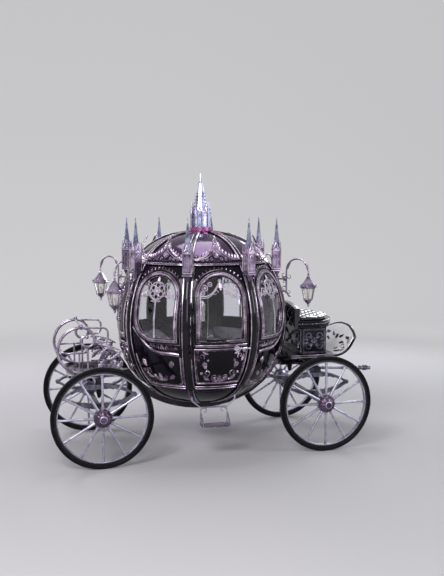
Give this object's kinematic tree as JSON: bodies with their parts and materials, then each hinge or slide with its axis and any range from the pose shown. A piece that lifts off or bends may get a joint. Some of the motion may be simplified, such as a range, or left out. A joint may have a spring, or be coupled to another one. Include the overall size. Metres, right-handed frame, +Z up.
{
  "type": "horse-drawn carriage",
  "caption": "Horse-drawn carriage with a globe-shaped cabin on a curved perch, spoked wheels, a turning fore-carriage, side doors, a driver's box, lanterns and a spire.",
  "frame": {"origin": "on the ground, at the middle of the footprint between the rear tyres' backs and the pole's tip", "axes": "+X forward along the pole, +Y to the carriage's left, +Z up"},
  "size_m": [4.0754, 2.0552, 3.232],
  "materials": {
    "cabin_lacquer": "gloss",
    "dome_lacquer": "gloss",
    "rib_lacquer": "gloss",
    "window_glass": "clear",
    "handle_metal": "polished",
    "floor_wood": "satin",
    "cabin_upholstery": "soft",
    "collar_enamel": "gloss",
    "spire_metal": "satin",
    "turret_metal": "gloss",
    "running_gear": "gloss",
    "spring_steel": "satin",
    "pole_metal": "satin",
    "box_lacquer": "gloss",
    "seat_leather": "gloss",
    "scroll_metal": "gloss",
    "lamp_metal": "gloss",
    "lamp_glass": "clear",
    "step_metal": "satin",
    "wheel_metal": "satin",
    "tyre_rubber": "matte"
  },
  "bodies": {
    "carriage": {"underbody": "cabin_lacquer", "dome": "dome_lacquer", "panel_front": "cabin_lacquer", "panel_front_left": "cabin_lacquer", "panel_rear_left": "cabin_lacquer", "panel_rear": "cabin_lacquer", "panel_rear_right": "cabin_lacquer", "panel_front_right": "cabin_lacquer", "side_window_glass": "window_glass", "rib_cage": "rib_lacquer", "door_hinges": "handle_metal", "cabin_floor": "floor_wood", "bench_rear": "floor_wood", "bench_front": "floor_wood", "bench_cushion_rear": "cabin_upholstery", "bench_cushion_front": "cabin_upholstery", "bench_back_rear": "cabin_upholstery", "bench_back_front": "cabin_upholstery", "spire_collar": "collar_enamel", "crown_spire": "spire_metal", "corner_turrets": "turret_metal", "corner_spires": "spire_metal", "rear_axle": "running_gear", "rear_springs": "spring_steel", "perch": "running_gear", "driver_platform": "box_lacquer", "dash": "box_lacquer", "driver_box": "box_lacquer", "seat_rim": "box_lacquer", "seat_cushion": "seat_leather", "seat_back": "seat_leather", "rear_board": "box_lacquer", "rear_scrolls": "scroll_metal", "lamp_brackets": "scroll_metal", "lamp_frames": "lamp_metal", "lamp_glass": "lamp_glass", "steps": "step_metal"},
    "fore_carriage": {"fore_carriage": "running_gear", "front_axle": "running_gear", "front_springs": "spring_steel"},
    "pole": {"pole": "pole_metal"},
    "door_right": {"door_right": "cabin_lacquer", "door_glass_right": "window_glass", "door_handle_right": "handle_metal"},
    "door_left": {"door_left": "cabin_lacquer", "door_glass_left": "window_glass", "door_handle_left": "handle_metal"},
    "wheel_front_right": {"wheel_front_right": "wheel_metal", "tyre_front_right": "tyre_rubber"},
    "wheel_front_left": {"wheel_front_left": "wheel_metal", "tyre_front_left": "tyre_rubber"},
    "wheel_rear_right": {"wheel_rear_right": "wheel_metal", "tyre_rear_right": "tyre_rubber"},
    "wheel_rear_left": {"wheel_rear_left": "wheel_metal", "tyre_rear_left": "tyre_rubber"}
  },
  "joints": [
    {"name": "steering", "type": "hinge", "parent": "carriage", "child": "fore_carriage", "pos_m": [1.10775, 0, 0.94], "axis": [0, 0, 1], "range_deg": [-18, 18]},
    {"name": "pole_lift", "type": "hinge", "parent": "fore_carriage", "child": "pole", "pos_m": [1.23175, 0, 0.824], "axis": [0, -1, 0], "range_deg": [-20, 22]},
    {"name": "door_right_hinge", "type": "hinge", "parent": "carriage", "child": "door_right", "pos_m": [-0.53222, -0.97121, 1.5], "axis": [0, 0, -1], "range_deg": [0, 95]},
    {"name": "door_left_hinge", "type": "hinge", "parent": "carriage", "child": "door_left", "pos_m": [-0.53222, 0.97121, 1.5], "axis": [0, 0, 1], "range_deg": [0, 95]},
    {"name": "wheel_front_right_spin", "type": "hinge", "parent": "fore_carriage", "child": "wheel_front_right", "pos_m": [1.10775, -0.797, 0.56], "axis": [0, 1, 0], "continuous": true},
    {"name": "wheel_front_left_spin", "type": "hinge", "parent": "fore_carriage", "child": "wheel_front_left", "pos_m": [1.10775, 0.797, 0.56], "axis": [0, 1, 0], "continuous": true},
    {"name": "wheel_rear_right_spin", "type": "hinge", "parent": "carriage", "child": "wheel_rear_right", "pos_m": [-1.47775, -0.797, 0.56], "axis": [0, 1, 0], "continuous": true},
    {"name": "wheel_rear_left_spin", "type": "hinge", "parent": "carriage", "child": "wheel_rear_left", "pos_m": [-1.47775, 0.797, 0.56], "axis": [0, 1, 0], "continuous": true}
  ]
}
